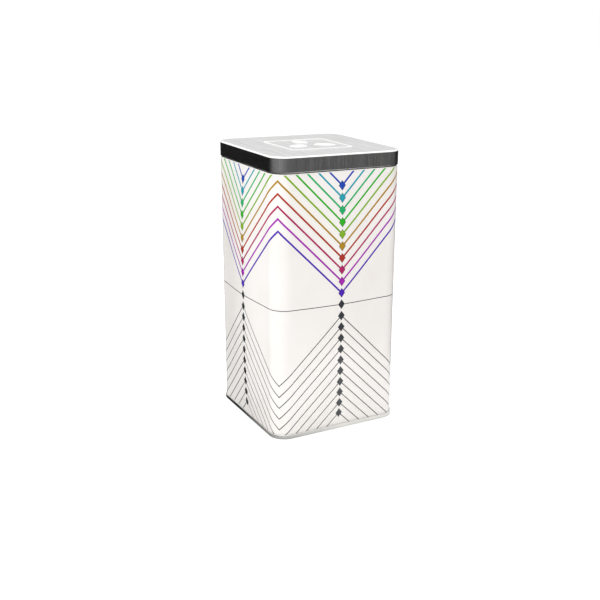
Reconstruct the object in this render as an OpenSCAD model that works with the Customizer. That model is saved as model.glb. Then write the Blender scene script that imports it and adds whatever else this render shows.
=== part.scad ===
// Square coffee tin with a slip lid: rolled tinplate wall, double-seamed bottom end, embossed lid.
// The origin is at the bottom centre, +Z is up and the front face looks along -Y.

/* [Body] */
// Width of the body across its flat faces
body_w = 95; // [80:1:110]
// Height of the tin with its lid on, to the lid's top plate
tin_h = 192; // [120:1:240]
// Outer radius of the body's upright corners
corner_r = 11; // [10:0.5:16]
// Thickness of the tinplate
sheet_t = 0.25; // [0.2:0.01:0.28]
// How far the middle of each face bellies out beyond its straight edges
belly = 2.3; // [1:0.1:2.6]

/* [Neck] */
// Distance from the lid's top plate down to the ledge that the lid stops above
neck_depth = 10.8; // [8:0.1:20]
// How far the neck is set in from the body wall
neck_step = 1.3; // [1.2:0.05:1.4]
// Outer radius of the safe curl along the open edge
curl_r = 0.7; // [0.6:0.05:0.9]
// Gap between the curl and the underside of the lid
curl_gap = 0.35; // [0.3:0.05:1]

/* [Side seam] */
// Width of the overlap where the two edges of the wall sheet are welded
lap_w = 3; // [2:0.5:6]

/* [Bottom seam] */
// Height of the double seam that joins the bottom end to the wall
seam_h = 2.8; // [2.6:0.1:3.4]
// Clearance between neighbouring layers of the double seam
layer_gap = 0.05; // [0.03:0.01:0.06]
// Outer radius of the two bends beside the seam's flat rest edge
foot_r = 0.5; // [0.4:0.05:0.6]

/* [Bottom end] */
// Height of the bottom panel's upper face above the rest plane
panel_z = 4; // [3.6:0.1:6]
// Outer radius of the bend between the chuck wall and the panel
panel_r = 0.8; // [0.6:0.05:1]
// Width of the panel's raised margin
margin_w = 6; // [4:0.5:6]
// How far the middle of the panel is pressed down below its margin
panel_drop = 0.6; // [0.5:0.05:0.7]

/* [Lid] */
// How far the lid's skirt stands proud of the body wall
skirt_out = 0.3; // [0.3:0.05:0.6]
// Outer radius of the rolled hem along the skirt's lower edge
hem_r = 0.6; // [0.5:0.05:0.65]
// Gap between the hem and the ledge of the body
hem_gap = 0.45; // [0.3:0.05:0.8]
// Outer radius of the lid's top edge
lid_edge_r = 1.2; // [1:0.1:1.8]

/* [Embossing] */
// Height of the embossing above the lid's top plate
emboss_h = 0.3; // [0.2:0.05:0.5]
// Outer side of the square embossed frame
frame_w = 46; // [30:1:60]
// Width of the frame's raised line
frame_line = 1.2; // [0.8:0.1:2]
// Length of one embossed coffee bean
bean_l = 17; // [8:0.5:18]
// Width of one embossed coffee bean
bean_w = 11; // [6:0.5:12]
// Width of the groove along each bean
bean_groove = 1.2; // [0.8:0.1:2]

/* [Hidden] */
$fn = 96;
QUARTER = 90;
SIDES = 4;
half_w = body_w / 2;
ledge_z = tin_h - neck_depth;
curl_top_z = tin_h - sheet_t - curl_gap;
curl_z = curl_top_z - curl_r;
hem_z = ledge_z + hem_gap + hem_r;
// The ledge is two bends, each taking half of the step to the neck
ledge_r = neck_step / 2;
// The belly is a slab of a torus, whose two radii give the bulge across the face and up it
arc_fn = 1440;
belly_z0 = seam_h + 0.2;
belly_z1 = ledge_z - ledge_r;
belly_reach_x = half_w - corner_r - 1;
belly_reach_z = (belly_z1 - belly_z0) / 2 - 2;
belly_across_r = (belly_reach_x * belly_reach_x + belly * belly) / (2 * belly);
belly_up_r = (belly_reach_z * belly_reach_z + belly * belly) / (2 * belly);
arc_root = 1;
// Layers of the double seam, measured outwards from the wall's outer face
layer = sheet_t + layer_gap;
hook_in = layer_gap + layer;
seam_out = 3 * layer;
hook_bend_r = hook_in / 2;
hook_bend_x = hook_in / 2;
hook_bend_z = hook_bend_r + sheet_t + layer;
fold_x = layer_gap + sheet_t + hook_bend_r;
fold_z = seam_h - hook_bend_r - sheet_t;
body_hook_top = fold_z - 0.15;
cover_hook_end = hook_bend_z + sheet_t;
chuck_x = -sheet_t - layer_gap;
foot_x0 = chuck_x - sheet_t + foot_r;
foot_x1 = seam_out - foot_r;
panel_bend_z = panel_z - panel_r;
panel_bend_x = chuck_x - panel_r;
compound_h = 0.12;
compound_clear = 0.01;
// Mid-sheet radius of the two bends between the panel's margin and its middle
step_r = panel_drop / 2;
// Beans point outwards from the lid's centre
BEANS = 3;
bean_ring_r = bean_l / 2 + 3.2;
// Radius of the two arcs whose overlap is a bean's outline
bean_arc_r = (bean_l * bean_l + bean_w * bean_w) / (4 * bean_w);

// Sweeps a section round the tin. The section's x is the distance outwards from
// the wall's outer face, and its y is the height.
module sweep_section() {
    straight = half_w - corner_r;
    for (side = [0 : SIDES - 1]) rotate([0, 0, QUARTER * side]) {
        translate([straight, straight, 0])
            rotate_extrude(angle = QUARTER)
                translate([corner_r, 0]) children();
        translate([half_w, straight, 0])
            rotate([QUARTER, 0, 0])
                linear_extrude(2 * straight) children();
    }
}

// The tin's outline from above, offset outwards by out.
module outline(out) {
    straight = half_w - corner_r;
    square([2 * (half_w + out), 2 * straight], center = true);
    square([2 * straight, 2 * (half_w + out)], center = true);
    for (side = [0 : SIDES - 1]) rotate(QUARTER * side)
        translate([straight, straight]) circle(corner_r + out);
}

// A flat plate with the tin's outline.
module plate(out, z, t) {
    translate([0, 0, z]) linear_extrude(t) outline(out);
}

// A shallow slab of a torus that bulges belly out of the face towards +X, offset outwards by out.
module pillow(out) {
    swing = asin((belly_reach_z + 1) / belly_up_r);
    translate([half_w + belly - belly_up_r, 0, 0]) rotate([QUARTER, 0, 0])
        rotate([0, 0, -swing]) rotate_extrude(angle = 2 * swing, $fn = arc_fn)
            intersection() {
                translate([belly_up_r - belly_across_r, 0])
                    circle(belly_across_r + out, $fn = arc_fn);
                translate([belly_up_r - belly - arc_root, -belly_reach_x - arc_root / 2])
                    square([belly + arc_root + 1, 2 * belly_reach_x + arc_root]);
            }
}

// The space inside the bellied faces, offset outwards by out and longer by extra at both ends.
module bellied(out, extra) {
    half = (belly_z1 - belly_z0) / 2;
    plate(out, belly_z0 - extra, 2 * (half + extra));
    translate([0, 0, belly_z0 + half])
        for (side = [0 : SIDES - 1]) rotate([0, 0, QUARTER * side]) pillow(out);
}

// A quarter of a bent sheet's section about its own centre, starting at angle start.
module bend(r_out, start) {
    rotate(start) intersection() {
        difference() {
            circle(r_out);
            circle(r_out - sheet_t);
        }
        square(r_out);
    }
}

// The section of a sheet from height z0 to z1, with its outer face at x.
module leaf(x, z0, z1) {
    translate([x - sheet_t, z0]) square([sheet_t, z1 - z0]);
}

// The section of a sheet that lies flat from x0 to x1, with its upper face at z.
module shelf(x0, x1, z) {
    translate([x0, z - sheet_t]) square([x1 - x0, sheet_t]);
}

module body_wall() color([0.96, 0.95, 0.94]) {
    sweep_section() {
        leaf(0, hook_bend_z, belly_z0);
        translate([-ledge_r, ledge_z - ledge_r]) bend(ledge_r, 0);
        translate([-ledge_r, ledge_z + ledge_r]) bend(ledge_r + sheet_t, 2 * QUARTER);
        leaf(-neck_step, ledge_z + ledge_r, curl_z);
        translate([-neck_step - curl_r, curl_z]) difference() {
            circle(curl_r);
            circle(curl_r - sheet_t);
        }
        // Body hook: the wall's lower edge, turned outwards and up
        translate([hook_bend_x, hook_bend_z]) {
            bend(hook_bend_r + sheet_t, 2 * QUARTER);
            bend(hook_bend_r + sheet_t, 3 * QUARTER);
        }
        leaf(hook_in + sheet_t, hook_bend_z, body_hook_top);
    }
    difference() {
        bellied(0, 0);
        bellied(-sheet_t, 1);
    }
    // Welded overlap of the side seam, at the middle of the back
    intersection() {
        difference() {
            bellied(-sheet_t / 2, 0);
            bellied(-2 * sheet_t, 1);
        }
        translate([-lap_w / 2, half_w - 1, seam_h + panel_z])
            cube([lap_w, belly + 2, belly_z1 - seam_h - panel_z - 1]);
    }
}

module bottom_end() color([0.80, 0.81, 0.80]) {
    step_x = panel_bend_x - margin_w;
    sweep_section() {
        leaf(chuck_x, foot_r, panel_bend_z);
        translate([panel_bend_x, panel_bend_z]) bend(panel_r, 0);
        shelf(step_x, panel_bend_x, panel_z);
        // Shallow step down to the middle of the panel
        translate([step_x, panel_z - step_r - sheet_t / 2]) bend(step_r + sheet_t / 2, QUARTER);
        translate([step_x - 2 * step_r, panel_z - step_r - sheet_t / 2])
            bend(step_r + sheet_t / 2, 3 * QUARTER);
        // Flat rest edge under the body hook, outer wall of the seam and cover hook
        translate([foot_x0, foot_r]) bend(foot_r, 2 * QUARTER);
        shelf(foot_x0, foot_x1, sheet_t);
        translate([foot_x1, foot_r]) bend(foot_r, 3 * QUARTER);
        leaf(seam_out, foot_r, fold_z);
        translate([fold_x, fold_z]) {
            bend(hook_bend_r + sheet_t, 0);
            bend(hook_bend_r + sheet_t, QUARTER);
        }
        leaf(layer, cover_hook_end, fold_z);
    }
    plate(step_x - 2 * step_r, panel_z - 2 * step_r - sheet_t, sheet_t);
}

// Lining compound in the fold above the body hook
module seam_compound() color([0.35, 0.36, 0.34]) {
    sweep_section()
        translate([hook_in + compound_clear, body_hook_top + compound_clear])
            square([sheet_t - 2 * compound_clear, compound_h]);
}

// One bean: the overlap of two arcs, with a groove along it.
module bean() {
    difference() {
        intersection() {
            translate([bean_arc_r - bean_w / 2, 0]) circle(bean_arc_r);
            translate([bean_w / 2 - bean_arc_r, 0]) circle(bean_arc_r);
        }
        square([bean_groove, bean_l], center = true);
    }
}

module lid_shell() color([0.72, 0.73, 0.72]) {
    sweep_section() {
        translate([skirt_out - hem_r, hem_z]) difference() {
            circle(hem_r);
            circle(hem_r - sheet_t);
        }
        leaf(skirt_out, hem_z, tin_h - lid_edge_r);
        translate([skirt_out - lid_edge_r, tin_h - lid_edge_r]) bend(lid_edge_r, 0);
    }
    plate(skirt_out - lid_edge_r, tin_h - sheet_t, sheet_t);
    translate([0, 0, tin_h - sheet_t]) linear_extrude(emboss_h + sheet_t) {
        difference() {
            square(frame_w, center = true);
            square(frame_w - 2 * frame_line, center = true);
        }
        for (k = [0 : BEANS - 1]) rotate(k * 360 / BEANS)
            translate([0, bean_ring_r]) bean();
    }
}

body_wall();
bottom_end();
seam_compound();
lid_shell();
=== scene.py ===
"""Looks of the square coffee tin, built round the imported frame. Metres throughout."""
import colorsys
import math

import bpy
import numpy as np
from mathutils import Matrix, Vector
from mathutils.geometry import delaunay_2d_cdt


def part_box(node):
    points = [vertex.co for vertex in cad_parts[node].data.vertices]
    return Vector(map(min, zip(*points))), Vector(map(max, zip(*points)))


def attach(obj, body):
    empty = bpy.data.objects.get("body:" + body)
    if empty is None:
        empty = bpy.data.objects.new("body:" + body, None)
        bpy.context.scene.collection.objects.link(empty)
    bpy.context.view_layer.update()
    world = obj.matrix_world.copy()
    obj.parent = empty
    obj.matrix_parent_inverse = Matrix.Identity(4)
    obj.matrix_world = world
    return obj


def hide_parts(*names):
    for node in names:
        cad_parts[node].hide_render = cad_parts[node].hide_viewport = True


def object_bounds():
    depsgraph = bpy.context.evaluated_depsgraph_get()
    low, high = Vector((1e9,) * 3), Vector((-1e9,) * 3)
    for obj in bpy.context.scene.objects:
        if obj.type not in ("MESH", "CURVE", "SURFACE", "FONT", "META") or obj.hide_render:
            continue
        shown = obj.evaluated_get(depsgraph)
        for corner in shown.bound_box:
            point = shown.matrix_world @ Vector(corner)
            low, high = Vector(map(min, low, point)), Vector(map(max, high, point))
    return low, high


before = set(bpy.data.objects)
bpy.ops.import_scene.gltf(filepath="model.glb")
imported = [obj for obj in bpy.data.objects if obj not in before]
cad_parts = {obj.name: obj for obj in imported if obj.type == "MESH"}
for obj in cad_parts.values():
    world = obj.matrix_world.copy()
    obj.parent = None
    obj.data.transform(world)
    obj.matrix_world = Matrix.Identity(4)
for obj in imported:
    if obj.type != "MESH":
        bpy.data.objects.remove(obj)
cad_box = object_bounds()
MM = 0.001
TINY = 1e-6

# ---------------------------------------------------------------- sizes
lid_low, lid_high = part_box("lid_shell")
_, wall_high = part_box("body_wall")
end_low, end_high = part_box("bottom_end")
SHEET = 0.25 * MM
CORNER_R = 11 * MM
SKIRT_OUT = 0.3 * MM
EMBOSS_H = 0.3 * MM
HEM_R = 0.6 * MM
HEM_GAP = 0.45 * MM
LID_EDGE_R = 1.2 * MM
NECK_STEP = 1.3 * MM
CURL_R = 0.7 * MM
LAYER_GAP = 0.05 * MM
HOOK_LAP = 0.15 * MM
SEAM_H = 2.8 * MM
FOOT_R = 0.5 * MM
PANEL_R = 0.8 * MM
MARGIN_W = 6 * MM
PANEL_DROP = 0.6 * MM

HALF = lid_high.x - SKIRT_OUT
STRAIGHT = HALF - CORNER_R
TOP = lid_high.z - EMBOSS_H
HEM_Z = lid_low.z + HEM_R
LEDGE = lid_low.z - HEM_GAP
LEDGE_R = NECK_STEP / 2
CURL_Z = wall_high.z - CURL_R
PANEL_Z = end_high.z

FLAT = 2 * STRAIGHT
BEND = math.pi / 2 * CORNER_R
ROUND = 4 * (FLAT + BEND)

# ---------------------------------------------------------------- outline
FLAT_CELLS = 24
CORNER_CELLS = 24
WELD_HALF = 2.1 * MM


def stations():
    """Distances round the wall where the mesh is cut, from the middle of the front face."""
    cuts = []
    for side in range(4):
        start = side * (FLAT + BEND) - FLAT / 2
        cuts += [start + FLAT * i / FLAT_CELLS for i in range(FLAT_CELLS)]
        cuts += [start + FLAT + BEND * i / CORNER_CELLS for i in range(CORNER_CELLS)]
    cuts += [ROUND / 2 - WELD_HALF, ROUND / 2 + WELD_HALF]
    return np.array(sorted(cuts))


def outline(s):
    """Point, outward direction and distance from the face's middle at distances s round the wall."""
    s = (np.asarray(s, float) + FLAT / 2) % ROUND
    side = np.floor(s / (FLAT + BEND))
    along = s - side * (FLAT + BEND)
    angle = np.maximum(along - FLAT, 0) / CORNER_R
    on_flat = np.minimum(along, FLAT) - FLAT / 2
    x = on_flat + CORNER_R * np.sin(angle)
    y = -STRAIGHT - CORNER_R * np.cos(angle)
    turn = side * math.pi / 2
    point = np.stack([x * np.cos(turn) - y * np.sin(turn),
                      x * np.sin(turn) + y * np.cos(turn)], -1)
    out = turn + angle - math.pi / 2
    middle = along - FLAT / 2
    middle = np.where(middle > (FLAT + BEND) / 2, middle - FLAT - BEND, middle)
    return point, np.stack([np.cos(out), np.sin(out)], -1), middle


# The wall's faces belly out between the bottom seam and the ledge
BOW = 2.25 * MM
BOW_MARGIN = 0.9 * MM
BOW_REACH = STRAIGHT + BEND / 2
BOW_MID = (SEAM_H + LEDGE) / 2
BOW_HALF = (LEDGE - SEAM_H) / 2 - BOW_MARGIN


def bow(u, z):
    """How far the wall bellies out at distance u from the face's middle and height z, with its two slopes."""
    a = np.clip(u / BOW_REACH, -1, 1)
    b = np.clip((z - BOW_MID) / BOW_HALF, -1, 1)
    across, up = (1 - a * a) ** 2, 1 - b ** 4
    slope_u = -4 * a * (1 - a * a) / BOW_REACH
    slope_z = np.where(np.abs(b) < 1, -4 * b ** 3 / BOW_HALF, 0)
    return BOW * across * up, BOW * slope_u * up, BOW * across * slope_z


# ---------------------------------------------------------------- sheet metal
def line(start, end, cuts=1):
    """Part of a sheet's section: rows of x, z and the right-hand direction."""
    start, end = np.array(start, float), np.array(end, float)
    d = (end - start) / np.linalg.norm(end - start)
    t = np.linspace(0, 1, cuts + 1)[:, None]
    return np.hstack([start + t * (end - start), np.tile((d[1], -d[0]), (cuts + 1, 1))])


def arc(centre, radius, start, end, cuts=8):
    """A bend in a sheet's section, from start to end in degrees."""
    a = np.radians(np.linspace(start, end, cuts + 1))
    ring = np.stack([np.cos(a), np.sin(a)], 1)
    return np.hstack([np.array(centre) + radius * ring, ring * (1 if end > start else -1)])


def section(*parts):
    """Joins parts end to end. Each starts where the one before it ends."""
    return np.vstack([parts[0]] + [p[1:] for p in parts[1:]])


class Solid:
    """Gathers faces with a direction at every corner and a material number, and makes their mesh."""

    def __init__(self):
        self.points, self.faces, self.normals, self.mats = [], [], [], []

    def add_points(self, points):
        first = sum(len(p) for p in self.points)
        self.points.append(np.asarray(points, float))
        return first

    def add(self, face, normals, mat=0):
        self.faces.append(tuple(int(i) for i in face))
        self.normals.append(np.asarray(normals, float))
        self.mats.append(mat)

    def build(self, name, materials, body, slot=None, replaces=(), brush=None):
        points = np.vstack(self.points)
        mesh = bpy.data.meshes.new(name)
        mesh.from_pydata(points.tolist(), [], self.faces)
        mesh.polygons.foreach_set("use_smooth", [True] * len(self.faces))
        mesh.polygons.foreach_set("material_index", self.mats)
        normals = np.vstack(self.normals)
        if brush:
            corners = np.array([i for f in self.faces for i in f])
            uv = mesh.uv_layers.new(name="brush")
            uv.data.foreach_set("uv", brush(points[corners], normals).astype(np.float32).ravel())
        mesh.normals_split_custom_set(normals.tolist())
        for m in materials:
            mesh.materials.append(m)
        obj = bpy.data.objects.new(name, mesh)
        bpy.context.scene.collection.objects.link(obj)
        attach(obj, body)
        if replaces:
            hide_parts(*replaces)


def swept(path, plates=False, bowed=False, mat=lambda side, i, s: 0):
    """A bent sheet whose section follows path, taken all round the tin.

    Returns the solid and the rings of points on the two sides of the path's end, which plates fill later.
    """
    s = stations()
    base, out, middle = outline(s)
    count, rows = len(s), len(path)
    round_dir = np.stack([-out[:, 1], out[:, 0]], -1)
    solid = Solid()
    rings, dirs = {}, {}
    for side, sign in (("right", 1), ("left", -1)):
        x = path[:, 0] + sign * path[:, 2] * SHEET / 2
        z = path[:, 1] + sign * path[:, 3] * SHEET / 2
        x_all, z_all = np.tile(x, (count, 1)), np.tile(z, (count, 1))
        n_out, n_up = np.tile(sign * path[:, 2], (count, 1)), np.tile(sign * path[:, 3], (count, 1))
        normal = np.concatenate([out[:, None, :] * n_out[..., None], n_up[..., None]], -1)
        if bowed:
            height, slope_u, slope_z = bow(middle[:, None], z_all)
            x_all = x_all + height
            normal[..., :2] -= (n_out * slope_u)[..., None] * round_dir[:, None, :]
            normal[..., 2] -= n_out * slope_z
            normal /= np.linalg.norm(normal, axis=-1, keepdims=True)
        points = np.concatenate([base[:, None, :] + out[:, None, :] * x_all[..., None], z_all[..., None]], -1)
        first = solid.add_points(points.reshape(-1, 3))
        rings[side] = first + np.arange(count * rows).reshape(count, rows)
        dirs[side] = normal
    for j in range(count):
        k = (j + 1) % count
        for i in range(rows - 1):
            corners = ((j, i), (k, i), (k, i + 1), (j, i + 1))
            for side, order in (("right", corners), ("left", corners[::-1])):
                solid.add([rings[side][c] for c in order], [dirs[side][c] for c in order], mat(side, i, s[j]))
        for i, sign in ((0, -1), (rows - 1, 1)):
            if plates and i:
                continue
            cap = [rings["right"][j, i], rings["left"][j, i], rings["left"][k, i], rings["right"][k, i]]
            n = [sign * np.array([*(-out[c] * path[i, 3]), path[i, 2]]) for c in (j, j, k, k)]
            solid.add(cap[::-sign], n[::-sign], mat("cap", i, s[j]))
    return solid, rings["right"][:, -1], rings["left"][:, -1]


# ---------------------------------------------------------------- materials
class Nodes:
    """A short way to write a procedural material."""

    def __init__(self, name, colour, roughness, **fixed):
        self.material = bpy.data.materials.new(name)
        self.material.use_nodes = True
        self.tree = self.material.node_tree
        self.shader = self.tree.nodes["Principled BSDF"]
        self.shader.inputs["Base Color"].default_value = (*colour, 1)
        self.shader.inputs["Roughness"].default_value = roughness
        for key, value in fixed.items():
            self.shader.inputs[key.replace("_", " ")].default_value = value
        self.place = self.node("ShaderNodeTexCoord").outputs["Object"]

    def node(self, kind, links=(), **settings):
        n = self.tree.nodes.new(kind)
        for key, value in settings.items():
            setattr(n, key, value)
        for socket, value in dict(links).items():
            if isinstance(value, bpy.types.NodeSocket):
                self.tree.links.new(value, n.inputs[socket])
            else:
                n.inputs[socket].default_value = value
        return n

    def noise(self, size, detail=2, stretch=(1, 1, 1), place=None, rough=0.5):
        """Noise from 0 to 1 whose grains are about size metres, longer where stretch is bigger."""
        scaled = self.node("ShaderNodeMapping", {
            "Vector": place or self.place, "Scale": [1 / (size * k) for k in stretch]}).outputs[0]
        return self.node("ShaderNodeTexNoise", {
            "Vector": scaled, "Scale": 1.0, "Detail": detail, "Roughness": rough}).outputs["Fac"]

    def spread(self, value, low, high, a=0.3, b=0.7):
        """value from a..b taken to low..high."""
        return self.node("ShaderNodeMapRange", {
            "Value": value, "From Min": a, "From Max": b, "To Min": low, "To Max": high}).outputs[0]

    def math(self, operation, a, b=0.0):
        return self.node("ShaderNodeMath", {0: a, 1: b}, operation=operation).outputs[0]

    def axis(self, name):
        return self.node("ShaderNodeSeparateXYZ", {0: self.place}).outputs[name]

    def mix(self, factor, a, b):
        n = self.node("ShaderNodeMix", data_type="RGBA")
        for index, value in ((0, factor), (6, a), (7, b)):
            if isinstance(value, bpy.types.NodeSocket):
                self.tree.links.new(value, n.inputs[index])
            else:
                n.inputs[index].default_value = value if index == 0 else (*value, 1)
        return n.outputs[2]

    def set(self, socket, value):
        self.tree.links.new(value, self.shader.inputs[socket])

    def bump(self, height, depth, strength):
        self.set("Normal", self.node("ShaderNodeBump", {
            "Height": height, "Distance": depth, "Strength": strength}).outputs[0])


def linear(r, g, b):
    """A screen colour from 0 to 255 as the shader's linear colour."""
    return tuple(c / 255 / 12.92 if c <= 10 else ((c / 255 + 0.055) / 1.055) ** 2.4 for c in (r, g, b))


VARNISH = {"Coat_Weight": 0.5, "Coat_Roughness": 0.14, "Specular_IOR_Level": 0.35}
# Heights of the painted shade bands under the ledge and over the bottom seam
LEDGE_SHADE_BAND, SEAM_SHADE_BAND = 4 * MM, 3 * MM
INK_DEPTH = 0.8


def gloss_coat(m, scale=1.0):
    """The fine ripple and handling marks of stoved varnish over paint or ink."""
    ripple = m.noise(1.4 * MM, 2)
    haze = m.noise(9 * MM, 4)
    m.set("Roughness", m.spread(haze, 0.16 * scale, 0.26 * scale))
    m.bump(ripple, 0.004 * MM, 0.35)


def lacquer():
    """White stoved lacquer under varnish, faintly uneven and rubbed, with painted shade just under the lid
    and just above the bottom seam.
    """
    m = Nodes("white_lacquer", linear(228, 225, 222), 0.2, **VARNISH)
    tone = m.noise(30 * MM, 3)
    base = m.mix(m.spread(tone, 0, 1), linear(226, 221, 217), linear(230, 226, 223))
    # Rub marks: long up the wall, faint, in patches. Along the ledge and the seam the same streaks are
    # painted shade, darker just under the lid and just above the bottom seam
    rub_and_shade_streaks = m.noise(0.5 * MM, 3, stretch=(1, 1, 14))
    where = m.noise(16 * MM, 2)
    z = m.axis("Z")
    # Painted shade: the streaks darken towards the ledge under the lid and towards the bottom seam
    edge = m.math("MAXIMUM", m.spread(z, 0, 1, LEDGE - LEDGE_SHADE_BAND, LEDGE),
                  m.spread(z, 1, 0, SEAM_H, SEAM_H + SEAM_SHADE_BAND))
    rubs_and_painted_shade = m.math("MULTIPLY", m.spread(rub_and_shade_streaks, 0, 1, 0.62, 0.72), m.spread(where, 0, 0.12, 0.55, 0.7))
    rubs_and_painted_shade = m.math("ADD", rubs_and_painted_shade, m.math("MULTIPLY", edge, m.spread(rub_and_shade_streaks, 0.0, 0.12, 0.4, 0.7)))
    m.set("Base Color", m.mix(rubs_and_painted_shade, base, linear(206, 204, 198)))
    gloss_coat(m)
    return m.material


def ink(name, colour):
    """Printed ink under varnish, with a fine grain where the white shows through."""
    m = Nodes("ink_" + name, colour, 0.22, **VARNISH)
    grain = m.noise(0.22 * MM, 1)
    colour = tuple(INK_DEPTH * c for c in colour)
    lighter = tuple(0.95 * c + 0.02 for c in colour)
    m.set("Base Color", m.mix(m.spread(grain, 0, 0.5, 0.35, 0.7), colour, lighter))
    gloss_coat(m, 1.1)
    return m.material


def tinplate():
    """Plain rolled tinplate: fine rolling lines along the sheet, soft crystals and a dull bloom."""
    m = Nodes("plain_tinplate", (0.78, 0.77, 0.75), 0.3, Metallic=1.0)
    roll = m.noise(0.25 * MM, 2, stretch=(60, 60, 1))
    bloom = m.noise(12 * MM, 4)
    m.set("Base Color", m.mix(m.spread(bloom, 0, 1), (0.74, 0.73, 0.71), (0.82, 0.81, 0.79)))
    m.set("Roughness", m.math("ADD", m.spread(roll, -0.04, 0.06), m.spread(bloom, 0.27, 0.34)))
    m.bump(roll, 0.004 * MM, 0.3)
    return m.material


def weld():
    """The bare stripe of the side seam: bright margins with a dark, raised line along the joint."""
    m = Nodes("weld_stripe", (0.62, 0.61, 0.59), 0.3, Metallic=0.45)
    wander = m.noise(1.2 * MM, 2, stretch=(1, 1, 3))
    off = m.math("ADD", m.axis("X"), m.spread(wander, -0.08 * MM, 0.08 * MM))
    away = m.math("ABSOLUTE", off)
    tint = m.spread(away, 1, 0, 0.25 * MM, 1.0 * MM)
    beads = m.noise(0.5 * MM, 1, stretch=(3, 3, 1))
    m.set("Base Color", m.mix(tint, (0.66, 0.655, 0.64), (0.30, 0.28, 0.265)))
    m.set("Roughness", m.spread(beads, 0.26, 0.42))
    height = m.math("ADD", m.spread(away, 1, 0, 0.3 * MM, 0.6 * MM), m.math("MULTIPLY", beads, 0.4))
    m.bump(height, 0.03 * MM, 0.6)
    return m.material


def brushed():
    """Brushed tinplate, with a painted highlight: the raised emblem and the rounded top edge are near white
    and less metallic. The brush layer's U runs along the grain.
    """
    m = Nodes("brushed_tinplate", (0.62, 0.62, 0.60), 0.3, Metallic=1.0, Anisotropic=0.5)
    uv = m.node("ShaderNodeUVMap", uv_map="brush").outputs[0]
    tangent = m.node("ShaderNodeTangent", direction_type="UV_MAP", uv_map="brush").outputs[0]
    m.set("Tangent", tangent)
    fine = m.noise(0.07 * MM, 2, stretch=(120, 1, 1), place=uv)
    broad = m.noise(0.18 * MM, 2, stretch=(90, 1, 1), place=uv)
    bloom = m.noise(14 * MM, 3)
    # Painted highlight: the raised emblem is painted near white and less metallic, for the light it catches
    emblem_highlight = m.spread(m.axis("Z"), 0, 1, TOP + 0.05 * MM, TOP + 0.2 * MM)
    streak = m.noise(1.1 * MM, 3, stretch=(40, 1, 1), place=uv, rough=0.7)
    tone = m.math("ADD", m.spread(fine, 0, 0.3), m.spread(streak, 0, 0.7, 0.38, 0.62))
    metal = m.mix(tone, (0.54, 0.545, 0.54), (0.90, 0.905, 0.895))
    metal = m.mix(m.spread(bloom, 0, 0.25), metal, (0.71, 0.71, 0.695))
    # Painted highlight: the lid's rounded top edge is painted near white and less metallic, for the light it
    # catches
    rim_highlight = m.math("MULTIPLY", m.spread(m.axis("Z"), 0, 1, TOP - 1.1 * MM, TOP - 0.7 * MM),
                 m.spread(m.axis("Z"), 1, 0, TOP - 0.15 * MM, TOP - 0.06 * MM))
    m.set("Base Color", m.mix(m.math("MAXIMUM", emblem_highlight, rim_highlight), metal, (0.97, 0.97, 0.96)))
    m.set("Roughness", m.math("ADD", m.spread(fine, 0.2, 0.26), m.spread(broad, -0.015, 0.015)))
    m.set("Metallic", m.math("SUBTRACT", 1.0, m.math("MULTIPLY", m.math("MAXIMUM", emblem_highlight, rim_highlight), 0.7)))
    height = m.math("ADD", m.math("MULTIPLY", fine, 0.5), broad)
    m.bump(height, 0.006 * MM, 0.5)
    return m.material


def compound():
    """Dull grey rubber of the lining in the seam."""
    m = Nodes("seam_lining", (0.1, 0.1, 0.1), 0.7)
    tone = m.noise(0.8 * MM, 3)
    m.set("Base Color", m.mix(m.spread(tone, 0, 1), (0.08, 0.085, 0.08), (0.14, 0.145, 0.135)))
    m.set("Roughness", m.spread(tone, 0.6, 0.8))
    m.bump(tone, 0.05 * MM, 0.5)
    return m.material


WHITE, PLAIN, WELD, BRUSHED = lacquer(), tinplate(), weld(), brushed()

# ---------------------------------------------------------------- wall
LAYER = SHEET + LAYER_GAP
HOOK_IN = LAYER_GAP + LAYER
HOOK_R = HOOK_IN / 2
HOOK_Z = HOOK_R + SHEET + LAYER
FOLD_Z = SEAM_H - HOOK_R - SHEET
FACE_TOP = LEDGE - LEDGE_R
# Heights of the wall's mesh rows, closest together where the belly starts and ends
WALL_ROWS = 44
BOW_LEVELS = BOW_MID - BOW_HALF * np.cos(np.linspace(0, math.pi, WALL_ROWS + 1))
LEVELS = np.concatenate([[HOOK_Z], BOW_LEVELS, [FACE_TOP]])

hook = arc((HOOK_R, HOOK_Z), HOOK_R + SHEET / 2, 0, -180)
hook_leg = line((HOOK_IN + SHEET / 2, FOLD_Z - HOOK_LAP), (HOOK_IN + SHEET / 2, HOOK_Z))
face = np.array([(-SHEET / 2, z, 1, 0) for z in LEVELS])
ledge_out = arc((-LEDGE_R, FACE_TOP), LEDGE_R - SHEET / 2, 0, 90)
ledge_in = arc((-LEDGE_R, LEDGE + LEDGE_R), LEDGE_R + SHEET / 2, 270, 180)
neck = line((-NECK_STEP - SHEET / 2, LEDGE + LEDGE_R), (-NECK_STEP - SHEET / 2, CURL_Z))
curl = arc((-NECK_STEP - CURL_R, CURL_Z), CURL_R - SHEET / 2, 0, 315, 20)
wall_path = section(hook_leg, hook, face, ledge_out, ledge_in, neck, curl)
# The paint ends in the middle of the ledge's outer bend
BARE_ROWS = 8
PAINT_END = len(hook_leg) + len(hook) + len(face) + len(ledge_out) - BARE_ROWS


def wall_mat(side, i, s):
    """White outside up to the ledge, bare along the weld and everywhere inside. s is where a cell starts."""
    if side != "right" or i >= PAINT_END:
        return 1
    from_weld = s - ROUND / 2
    return 2 if -WELD_HALF - TINY < from_weld < WELD_HALF - TINY else 0


wall, _, _ = swept(wall_path, bowed=True, mat=wall_mat)
wall.build("tin_wall", [WHITE, PLAIN, WELD], "tin", "white_lacquer", ["body_wall"])

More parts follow.
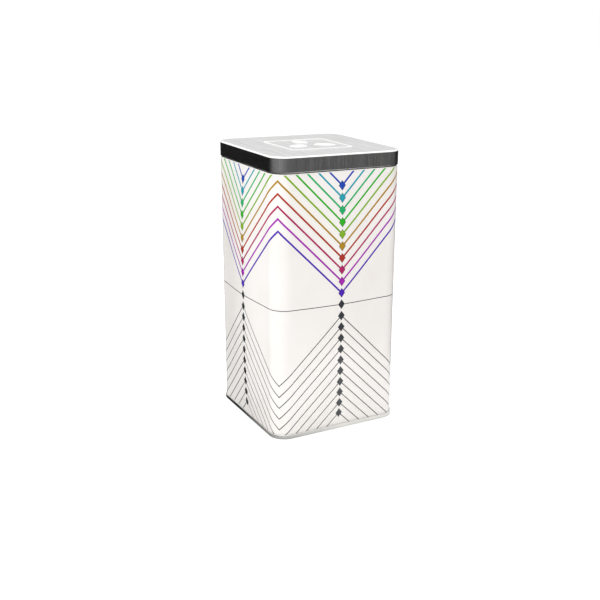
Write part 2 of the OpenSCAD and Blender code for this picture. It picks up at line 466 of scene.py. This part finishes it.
# ---------------------------------------------------------------- bottom end
CHUCK_X = -SHEET - LAYER_GAP
SEAM_OUT = 3 * LAYER
FOLD_X = LAYER_GAP + SHEET + HOOK_R
FOOT_X0 = CHUCK_X - SHEET + FOOT_R
FOOT_X1 = SEAM_OUT - FOOT_R
PANEL_X = CHUCK_X - PANEL_R
STEP_X = PANEL_X - MARGIN_W
STEP_R = PANEL_DROP / 2
STEP_Z = PANEL_Z - STEP_R - SHEET / 2
end_path = section(
    line((LAYER - SHEET / 2, HOOK_Z + SHEET), (LAYER - SHEET / 2, FOLD_Z)),
    arc((FOLD_X, FOLD_Z), HOOK_R + SHEET / 2, 180, 0, 16),
    line((SEAM_OUT - SHEET / 2, FOLD_Z), (SEAM_OUT - SHEET / 2, FOOT_R)),
    arc((FOOT_X1, FOOT_R), FOOT_R - SHEET / 2, 0, -90),
    line((FOOT_X1, SHEET / 2), (FOOT_X0, SHEET / 2)),
    arc((FOOT_X0, FOOT_R), FOOT_R - SHEET / 2, 270, 180),
    line((CHUCK_X - SHEET / 2, FOOT_R), (CHUCK_X - SHEET / 2, PANEL_Z - PANEL_R)),
    arc((PANEL_X, PANEL_Z - PANEL_R), PANEL_R - SHEET / 2, 0, 90),
    line((PANEL_X, PANEL_Z - SHEET / 2), (STEP_X, PANEL_Z - SHEET / 2)),
    arc((STEP_X, STEP_Z), STEP_R, 90, 180),
    arc((STEP_X - 2 * STEP_R, STEP_Z), STEP_R, 0, -90),
)
bottom, upper, lower = swept(end_path, plates=True)
bottom.add(upper, [(0, 0, 1)] * len(upper))
bottom.add(lower[::-1], [(0, 0, -1)] * len(lower))
bottom.build("tin_bottom", [PLAIN], "tin", "plain_tinplate", ["bottom_end"])

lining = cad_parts["seam_compound"]
lining.data.materials.clear()
lining.data.materials.append(compound())

# ---------------------------------------------------------------- lid
lid_path = section(
    arc((SKIRT_OUT - HEM_R, HEM_Z), HEM_R - SHEET / 2, -320, 0, 24),
    line((SKIRT_OUT - SHEET / 2, HEM_Z), (SKIRT_OUT - SHEET / 2, TOP - LID_EDGE_R), 2),
    arc((SKIRT_OUT - LID_EDGE_R, TOP - LID_EDGE_R), LID_EDGE_R - SHEET / 2, 0, 90, 12),
)

FRAME_HALF = 22.4 * MM
FRAME_LINE = 1.3 * MM
FRAME_CORNER_R = 1.5 * MM
FRAME_RAMP = 0.3 * MM
BEAN_L, BEAN_W = 17 * MM, 11 * MM
BEANS = 3
BEAN_RING = BEAN_L / 2 + 3.2 * MM
BEAN_RAMP = 0.22
BEAN_CROWN = 0.22
SLIT_SWAY, SLIT_W, SLIT_DEPTH = 0.9 * MM, 0.95 * MM, 0.95
PATCH = 24 * MM
PATCH_CELLS = 120
SLOPE_STEP = 0.05 * MM


def emboss(x, y):
    """Height of the pressed frame and coffee beans over the lid's plate."""
    def ease(t):
        t = np.clip(t, 0, 1)
        return t * t * (3 - 2 * t)

    # Distance from the line of a rounded square
    qx, qy = np.abs(x) - (FRAME_HALF - FRAME_CORNER_R), np.abs(y) - (FRAME_HALF - FRAME_CORNER_R)
    away = np.hypot(np.maximum(qx, 0), np.maximum(qy, 0)) + np.minimum(np.maximum(qx, qy), 0) - FRAME_CORNER_R
    height = ease(1 - np.abs(away) / (FRAME_LINE / 2 + FRAME_RAMP))
    for k in range(BEANS):
        a = 2 * math.pi * k / BEANS
        u = -x * math.sin(a) + y * math.cos(a) - BEAN_RING
        v = x * math.cos(a) + y * math.sin(a)
        oval = np.sqrt((u / (BEAN_L / 2)) ** 2 + (v / (BEAN_W / 2)) ** 2)
        crown = 1 - BEAN_CROWN + BEAN_CROWN * np.clip(1 - oval * oval, 0, 1)
        slit = v - SLIT_SWAY * np.sin(math.pi * u / (BEAN_L / 2))
        dome = ease((1 - oval) / BEAN_RAMP) * crown * (1 - SLIT_DEPTH * ease(1 - np.abs(slit) / SLIT_W))
        height = np.maximum(height, dome)
    return EMBOSS_H * height


def emboss_normal(x, y, sign):
    """Directions of the embossed plate, up on its outside and down on its inside."""
    e = SLOPE_STEP
    n = np.stack([-(emboss(x + e, y) - emboss(x - e, y)) / (2 * e),
                  -(emboss(x, y + e) - emboss(x, y - e)) / (2 * e), np.ones_like(x)], -1)
    return sign * n / np.linalg.norm(n, axis=-1, keepdims=True)


def lid_plate(solid, ring, z, sign, mat):
    """Fills the lid's plate on one side: plain round the outside, finely cut where it is embossed."""
    edge = np.vstack(solid.points)[ring][:, :2]
    t = np.linspace(-PATCH, PATCH, PATCH_CELLS + 1)
    gx, gy = np.meshgrid(t, t, indexing="ij")
    grid = solid.add_points(np.stack([gx, gy, z + emboss(gx, gy)], -1).reshape(-1, 3))
    index = grid + np.arange(gx.size).reshape(gx.shape)
    n = emboss_normal(gx, gy, sign)
    for i in range(PATCH_CELLS):
        for j in range(PATCH_CELLS):
            c = ((i, j), (i + 1, j), (i + 1, j + 1), (i, j + 1))[::sign]
            solid.add([index[k] for k in c], [n[k] for k in c], mat)
    border = np.concatenate([index[:-1, 0], index[-1, :-1], index[:0:-1, -1], index[0, :0:-1]])
    inner = np.vstack(solid.points)[border][:, :2]
    flat = [Vector(p) for p in np.vstack([edge, inner])]
    names = np.concatenate([ring, border])
    count, inside = len(edge), len(inner)
    holes = [(count + i, count + (i + 1) % inside) for i in range(inside)]
    faces = delaunay_2d_cdt(flat, holes, [list(range(count))], 1, 1e-9)[2]
    flat_co = np.vstack([edge, inner])
    for f in faces:
        centre = flat_co[list(f)].mean(0)
        if max(abs(centre)) > PATCH:
            loop = [names[i] for i in f]
            a, b, c = flat_co[f[0]], flat_co[f[1]], flat_co[f[2]]
            if (b[0] - a[0]) * (c[1] - a[1]) - (b[1] - a[1]) * (c[0] - a[0]) < 0:
                loop.reverse()
            solid.add(loop[::sign], [(0, 0, sign)] * len(loop), mat)


def brush_grain(points, normals):
    """U along the brushing: front to back over the plate and the sides, down the front and back."""
    sideways = np.abs(normals[:, 0]) > np.abs(normals[:, 1])
    x, y, z = points.T
    drop = TOP - z
    u = np.where(sideways, y, y + np.sign(y) * drop)
    v = np.where(sideways, x + np.sign(x) * drop, x)
    return np.stack([u, v], -1)


def lid_mat(side, *_):
    return 0 if side == "right" else 1


lid, upper, lower = swept(lid_path, plates=True, mat=lid_mat)
lid_plate(lid, upper, TOP, 1, 0)
lid_plate(lid, lower, TOP - SHEET, -1, 1)
lid.build("lid_pressed", [BRUSHED, PLAIN], "lid", "brushed_tinplate", ["lid_shell"], brush_grain)

# ---------------------------------------------------------------- print
# Plain chevrons on each face, and a column of rhombi up each but the back, where the bare weld runs.
# They are laid out on the unrolled wall: s round the tin from the middle of the front face, z up.
COLUMNS = 4
PANEL = ROUND / COLUMNS
BACK = 2
PITCH = 8 * MM
STEPS = 10
MID_Z = (SEAM_H + FACE_TOP) / 2
PRINT_LOW, PRINT_HIGH = 2.2 * MM, FACE_TOP - 0.1 * MM
MID_LINE = 0.5 * MM
TIP_GAP = 0.1 * MM
RHOMB_W, RHOMB_H = 2.6 * MM, 3.4 * MM
OUTLINE = 0.1
HUE_STRIPE, GREY_STRIPE = 1.2 * MM, 0.6 * MM
INK_H = 0.02 * MM
INK_SINK = 0.05 * MM
# Corners that agree to a ten-thousandth of a millimetre are one
KEY = 1e7

# Evenly spaced hues round the circle, from blue through green and red to violet
FIRST_HUE, SATURATION, VALUE = 0.62, 0.84, 0.72
HUES = []
for i in range(STEPS):
    rgb = colorsys.hsv_to_rgb((FIRST_HUE - i / STEPS) % 1, SATURATION, VALUE)
    HUES.append((f"hue_{i + 1:02d}", linear(*(255 * c for c in rgb))))
GREY = ("graphite", linear(52, 56, 60))


def cut(poly, a, b, c):
    """Keeps the part of a convex polygon where a*s + b*z <= c."""
    kept = []
    for p, q in zip(poly, poly[1:] + poly[:1]):
        dp, dq = a * p[0] + b * p[1] - c, a * q[0] + b * q[1] - c
        if dp <= 0:
            kept.append(p)
        if dp * dq < 0:
            t = dp / (dp - dq)
            kept.append((p[0] + t * (q[0] - p[0]), p[1] + t * (q[1] - p[1])))
    return kept


ALL_S = stations()
ALL_S = np.concatenate([ALL_S + k * ROUND for k in (-1, 0, 1)])


def cells(poly):
    """Cuts a polygon along the wall's own mesh lines, and leaves out the bare weld stripe."""
    low, high = min(p[0] for p in poly), max(p[0] for p in poly)
    edges = ALL_S[(ALL_S > low + 1e-9) & (ALL_S < high - 1e-9)]
    for a, b in zip([low, *edges], [*edges, high]):
        if abs((a + b) / 2 % ROUND - ROUND / 2) < WELD_HALF:
            continue
        strip = cut(cut(poly, 1, 0, b), -1, 0, -a)
        if len(strip) < 3:
            continue
        bottom_z, top_z = min(p[1] for p in strip), max(p[1] for p in strip)
        levels = LEVELS[(LEVELS > bottom_z + 1e-9) & (LEVELS < top_z - 1e-9)]
        for c, d in zip([bottom_z, *levels], [*levels, top_z]):
            piece = cut(cut(strip, 0, 1, d), 0, -1, -c)
            clean = []
            for p in piece:
                if not clean or math.dist(p, clean[-1]) > 1e-8:
                    clean.append(p)
            if len(clean) > 2 and math.dist(clean[0], clean[-1]) < 1e-8:
                clean.pop()
            if len(clean) > 2:
                yield clean


films = {}


def lay(name, colour, poly):
    """Adds one convex printed shape, anticlockwise, to the film of its ink."""
    if len(poly) < 3:
        return
    turned = sum(p[0] * q[1] - q[0] * p[1] for p, q in zip(poly, poly[1:] + poly[:1]))
    if turned < 0:
        poly = poly[::-1]
    films.setdefault(name, (colour, []))[1].append(poly)


def on_wall(s, z, height):
    """Points at a height over the bellied wall, with its outward directions there."""
    base, out, middle = outline(s)
    belly, slope_u, slope_z = bow(middle, z)
    point = np.concatenate([base + out * (height + belly)[:, None], z[:, None]], -1)
    normal = np.concatenate([out - slope_u[:, None] * np.stack([-out[:, 1], out[:, 0]], -1),
                             -slope_z[:, None]], -1)
    return point, normal / np.linalg.norm(normal, axis=-1, keepdims=True)


def film(name, colour, shapes):
    """One ink's shapes as thin closed films on the wall, with no wall between shapes that share an edge."""
    solid = Solid()
    turn = round(ROUND * KEY)
    keys, where, faces = {}, [], []
    for poly in shapes:
        for piece in cells(poly):
            loop = []
            for p in piece:
                key = (round(p[0] % ROUND * KEY) % turn, round(p[1] * KEY))
                if key not in keys:
                    keys[key] = len(where)
                    where.append(p)
                if not loop or loop[-1] != keys[key]:
                    loop.append(keys[key])
            if len(loop) > 2 and loop[0] == loop[-1]:
                loop.pop()
            if len(loop) > 2:
                faces.append(loop)
    where = np.array(where)
    n = len(where)
    top, normal = on_wall(where[:, 0], where[:, 1], np.full(n, INK_H))
    low, _ = on_wall(where[:, 0], where[:, 1], np.full(n, -INK_SINK))
    solid.add_points(np.vstack([top, low]))
    edges = {(a, b) for f in faces for a, b in zip(f, f[1:] + f[:1])}
    for f in faces:
        solid.add(list(f), normal[f])
        solid.add([n + i for i in f[::-1]], -normal[f[::-1]])
    for a, b in sorted(edges):
        if (b, a) not in edges:
            side = np.cross(top[b] - top[a], normal[a])
            side /= np.linalg.norm(side)
            solid.add([n + a, n + b, b, a], [side] * 4)
    solid.build("print_" + name, [ink(name, colour)], "tin")


def stripe(colour, width, column, level, sx, sz):
    """Half a chevron: from the rhombus at level on a column to halfway to the next column, at 45 degrees."""
    start = np.array([column, MID_Z + level * PITCH])
    way = np.array([sx, sz]) / math.sqrt(2)
    side = np.array([-way[1], way[0]]) * width / 2
    a, b = start - way * width, start + way * PANEL
    poly = [tuple(a - side), tuple(b - side), tuple(b + side), tuple(a + side)]
    poly = cut(cut(poly, 0, 1, PRINT_HIGH), 0, -1, -PRINT_LOW)
    poly = cut(poly, sx, 0, sx * column + PANEL / 2)
    poly = cut(poly, -sx / RHOMB_W, -sz / RHOMB_H, -1 - sx * start[0] / RHOMB_W - sz * start[1] / RHOMB_H)
    lay(*colour, poly)


def gem(column, level, colour):
    """A rhombus in the colour of its own stripe, with a fine grey outline."""
    z = MID_Z + level * PITCH
    outer = [(column + RHOMB_W, z), (column, z + RHOMB_H), (column - RHOMB_W, z), (column, z - RHOMB_H)]
    if colour == GREY:
        lay(*GREY, outer)
        return
    inner = [(column + (a - column) * (1 - OUTLINE), z + (b - z) * (1 - OUTLINE)) for a, b in outer]
    for i in range(4):
        j = (i + 1) % 4
        lay(*GREY, [outer[i], outer[j], inner[j], inner[i]])
    lay(*colour, inner)


for c in range(COLUMNS):
    column = c * PANEL
    for k in range(1, STEPS + 1):
        for sx in (1, -1):
            stripe(HUES[STEPS - k], HUE_STRIPE, column, k, sx, 1)
            stripe(GREY, GREY_STRIPE, column, -k, sx, -1)
        if c != BACK:
            gem(column, k, HUES[STEPS - k])
            gem(column, -k, GREY)
    if c != BACK:
        gem(column, 0, GREY)
    left, right = column + RHOMB_W + TIP_GAP, column + PANEL - RHOMB_W - TIP_GAP
    lay(*GREY, [(left, MID_Z - MID_LINE / 2), (right, MID_Z - MID_LINE / 2),
                (right, MID_Z + MID_LINE / 2), (left, MID_Z + MID_LINE / 2)])

for name, (colour, shapes) in films.items():
    film(name, colour, shapes)

# ---------------------------------------------------------------- camera
CAMERA_AT = Vector((-290.9, -553.1, 275.1)) * MM
AZIMUTH, ELEVATION, ROLL = math.radians(-30.61), math.radians(18.37), math.radians(1.12)
LENS, SENSOR = 54.47, 36
SHIFT = (-0.0835, 0.030)
back = Vector((math.sin(AZIMUTH) * math.cos(ELEVATION), -math.cos(AZIMUTH) * math.cos(ELEVATION),
               math.sin(ELEVATION)))
turn = back.to_track_quat("Z", "Y").to_matrix() @ Matrix.Rotation(ROLL, 3, "Z")
camera = bpy.data.objects.new("camera", bpy.data.cameras.new("camera"))
camera.data.lens = LENS
camera.data.sensor_width = SENSOR
camera.data.shift_x, camera.data.shift_y = SHIFT
camera.data.clip_start, camera.data.clip_end = 0.01, 50
camera.matrix_world = Matrix.Translation(CAMERA_AT) @ turn.to_4x4()
bpy.context.scene.collection.objects.link(camera)
bpy.context.scene.camera = camera

# ---------------------------------------------------------------- floor and light
FADE_AT = (0.06, -0.09, 0)
FADE = (0.07, 0.15)
scene = bpy.context.scene
scene.view_settings.view_transform = "Standard"


def flat_floor(name, size, z, colour, glow=0.0, fade=None):
    """A square plane that reaches size metres each way, and thins out between two distances from FADE_AT."""
    mesh = bpy.data.meshes.new(name)
    corners = [(-size, -size, z), (size, -size, z), (size, size, z), (-size, size, z)]
    mesh.from_pydata(corners, [], [(0, 1, 2, 3)])
    obj = bpy.data.objects.new(name, mesh)
    scene.collection.objects.link(obj)
    m = Nodes(name, colour, 0.8, Specular_IOR_Level=0.2, Emission_Color=(1, 1, 1, 1),
              Emission_Strength=glow)
    tone = m.noise(0.4, 3)
    m.set("Base Color", m.mix(m.spread(tone, 0, 1), colour, tuple(0.985 * c for c in colour)))
    if fade:
        off = m.node("ShaderNodeVectorMath", {0: m.place, 1: FADE_AT}, operation="DISTANCE").outputs["Value"]
        m.set("Alpha", m.spread(off, 0.9, 0, *fade))
    mesh.materials.append(m.material)
    return obj


floor = flat_floor("floor", 8, end_low.z - 0.1 * MM, (0.94, 0.94, 0.94), 0.12)
floor.visible_glossy = False
# The tin's gloss sees only the white table near it
sweep = flat_floor("sweep", 0.25, end_low.z - 0.05 * MM, (0.95, 0.95, 0.93), fade=FADE)
sweep.visible_camera = sweep.visible_diffuse = sweep.visible_shadow = False

world = bpy.data.worlds.new("studio")
scene.world = world
world.use_nodes = True
tree = world.node_tree
way = tree.nodes.new("ShaderNodeTexCoord").outputs["Generated"]


def world_node(kind, links, **settings):
    """Adds a node to the world and returns its outputs."""
    n = tree.nodes.new(kind)
    for key, value in settings.items():
        setattr(n, key, value)
    for socket, value in links.items():
        if isinstance(value, bpy.types.NodeSocket):
            tree.links.new(value, n.inputs[socket])
        else:
            n.inputs[socket].default_value = value
    return n.outputs


def lobe(direction, inner, outer, strength):
    """A soft patch of light round a direction, which fades between the cosines inner and outer."""
    dot = world_node("ShaderNodeVectorMath", {0: way, 1: Vector(direction).normalized()},
                     operation="DOT_PRODUCT")["Value"]
    return world_node("ShaderNodeMapRange", {
        "Value": dot, "From Min": outer, "From Max": inner, "To Min": 0.0, "To Max": strength},
        interpolation_type="SMOOTHSTEP")[0]


def add(a, b):
    return world_node("ShaderNodeMath", {0: a, 1: b}, operation="ADD")[0]


up = world_node("ShaderNodeSeparateXYZ", {0: way})["Z"]
sky = world_node("ShaderNodeMapRange", {"Value": up, "From Min": 0.0, "From Max": 0.16,
                                        "To Min": 0.006, "To Max": 1.0}, interpolation_type="SMOOTHSTEP")[0]
ground = world_node("ShaderNodeMapRange", {"Value": up, "From Min": -0.03, "From Max": 0.02,
                                           "To Min": 1.0, "To Max": 0.0})[0]
# Seen only in the wall's gloss: soft light from below the horizon, on the left and in front
left_glow = lobe((-0.82, -0.48, -0.31), inner=0.95, outer=0.4, strength=0.19)
front_glow = lobe((0.45, -0.83, -0.33), inner=0.93, outer=0.5, strength=0.062)
below = add(left_glow, front_glow)
below = world_node("ShaderNodeMath", {0: ground, 1: below}, operation="MULTIPLY")[0]
seen = tree.nodes.new("ShaderNodeLightPath").outputs["Is Camera Ray"]
tree.links.new(add(add(sky, below), seen), tree.nodes["Background"].inputs["Strength"])
tree.nodes["Background"].inputs["Color"].default_value = (1, 1, 1, 1)


def softbox(name, place, target, size, watts, colour=(1, 1, 1)):
    """A rectangular light at place, turned towards target."""
    light = bpy.data.lights.new(name, "AREA")
    light.shape = "RECTANGLE"
    light.size, light.size_y = size
    light.energy = watts
    light.color = colour
    obj = bpy.data.objects.new(name, light)
    obj.location = place
    obj.rotation_euler = (Vector(target) - Vector(place)).to_track_quat("-Z", "Y").to_euler()
    scene.collection.objects.link(obj)
    return obj


middle = (cad_box[0] + cad_box[1]) / 2
softbox("key", (0.25, -0.9, 0.95), middle, size=(0.7, 0.7), watts=0.25, colour=(1, 0.93, 0.9))
softbox("overhead", (-0.1, 0.0, 1.1), middle, size=(0.8, 0.8), watts=4.0)
left_box = softbox("left", (-0.65, -0.22, 0.6), middle, size=(0.35, 0.35), watts=2.1, colour=(0.95, 1, 1))
left_box.visible_glossy = False
